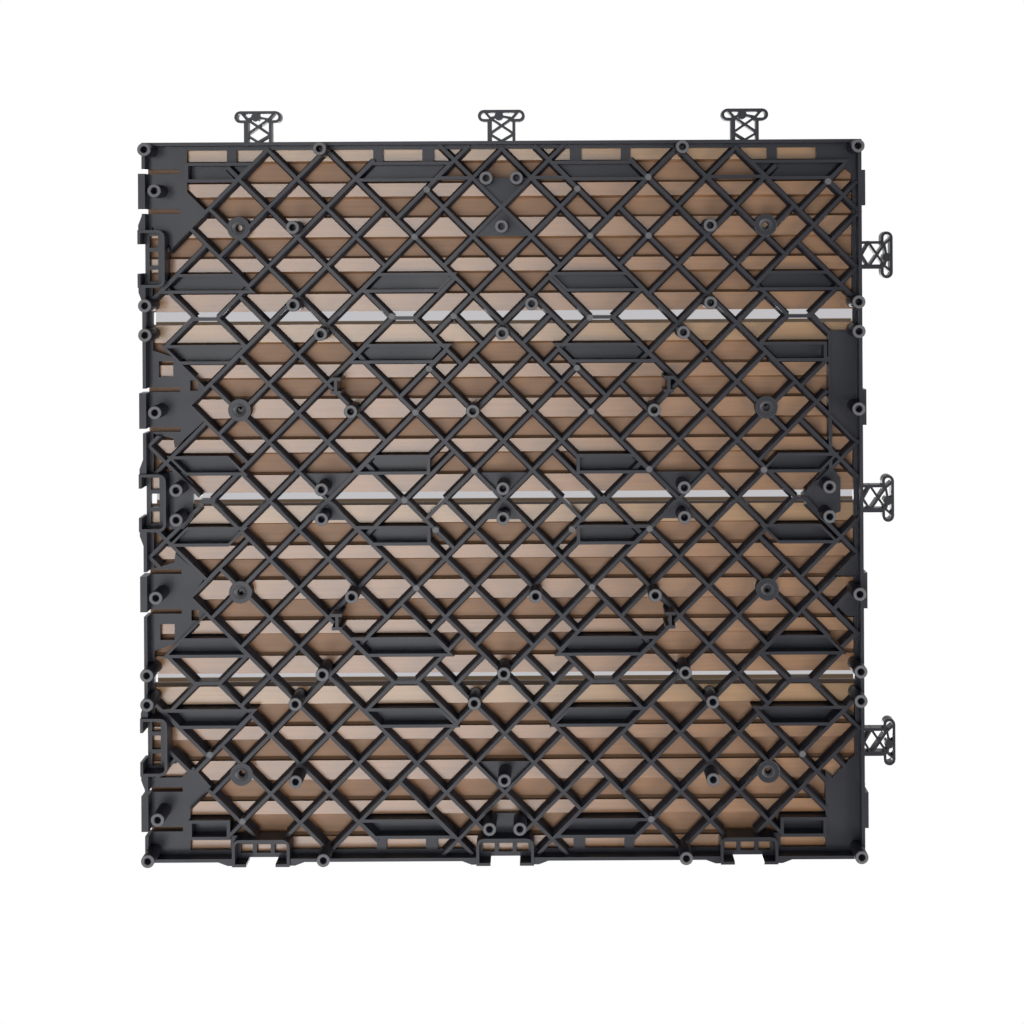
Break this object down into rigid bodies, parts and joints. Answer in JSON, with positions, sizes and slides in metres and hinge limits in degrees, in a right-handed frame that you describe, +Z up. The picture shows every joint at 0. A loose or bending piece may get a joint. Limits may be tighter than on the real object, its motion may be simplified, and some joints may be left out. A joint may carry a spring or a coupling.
{
  "type": "interlocking deck tile",
  "caption": "Square interlocking deck tile: grooved composite boards on a moulded lattice base that stands on pegs, with linking arms that hook into the sockets of the next tile.",
  "frame": {"origin": "middle of the square tile at the level of its peg tips, where it stands on the ground; the linking arms are left out of that middle", "axes": "+Z up, boards on top; +X along the boards, towards the side with linking arms; the other arms stand out on the -Y side"},
  "size_m": [0.3146, 0.3146, 0.022],
  "materials": {
    "base_plastic": "matte",
    "composite": "matte"
  },
  "bodies": {
    "root": {"base_grid": "base_plastic", "deck_board_1": "composite", "deck_board_2": "composite", "deck_board_3": "composite", "deck_board_4": "composite"}
  },
  "joints": []
}
